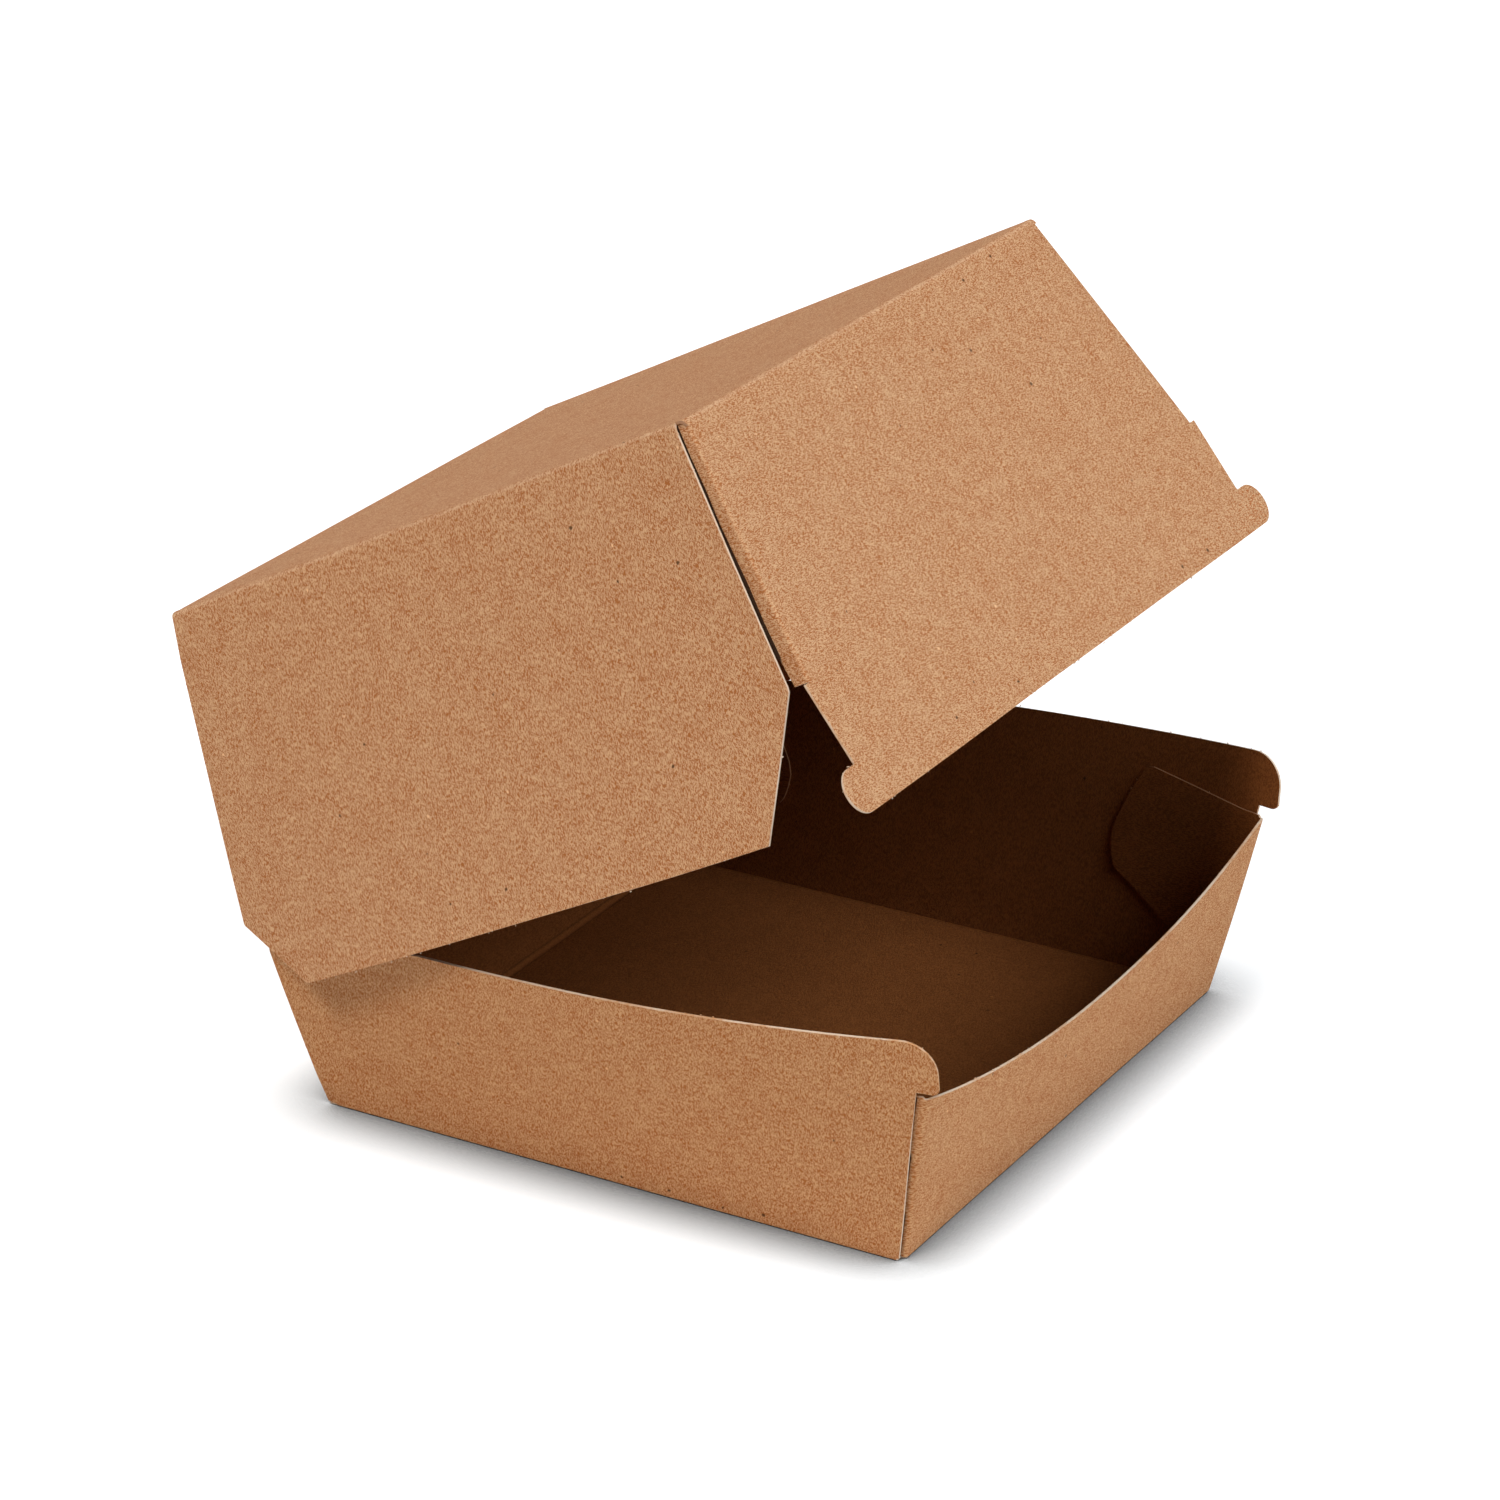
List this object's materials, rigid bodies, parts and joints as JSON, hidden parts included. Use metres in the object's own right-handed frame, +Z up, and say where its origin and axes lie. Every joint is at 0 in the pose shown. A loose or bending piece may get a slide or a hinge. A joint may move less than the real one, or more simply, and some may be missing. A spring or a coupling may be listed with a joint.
{
  "type": "takeaway box",
  "caption": "Hinged burger-style takeaway box folded from kraft board, standing open, with flared walls, a scooped front rim, corner hooks and a deep lid with ears.",
  "frame": {"origin": "centre of the tray's underside, on the table", "axes": "+Z up, -Y towards the front where the box opens, +Y towards the lid's crease, +X to the right seen from the front"},
  "size_m": [0.1362, 0.1336, 0.1235],
  "materials": {
    "tray_board": "uncoated brown kraft board, matt",
    "lid_board": "uncoated brown kraft board, matt"
  },
  "bodies": {
    "tray": {"tray": "tray_board"},
    "lid": {"lid": "lid_board"}
  },
  "joints": [
    {"name": "lid_crease", "type": "hinge", "parent": "tray", "child": "lid", "pos_m": [0, 0.05725, 0.0267], "axis": [-1, 0, 0], "range_deg": [-27.7, 90]}
  ]
}
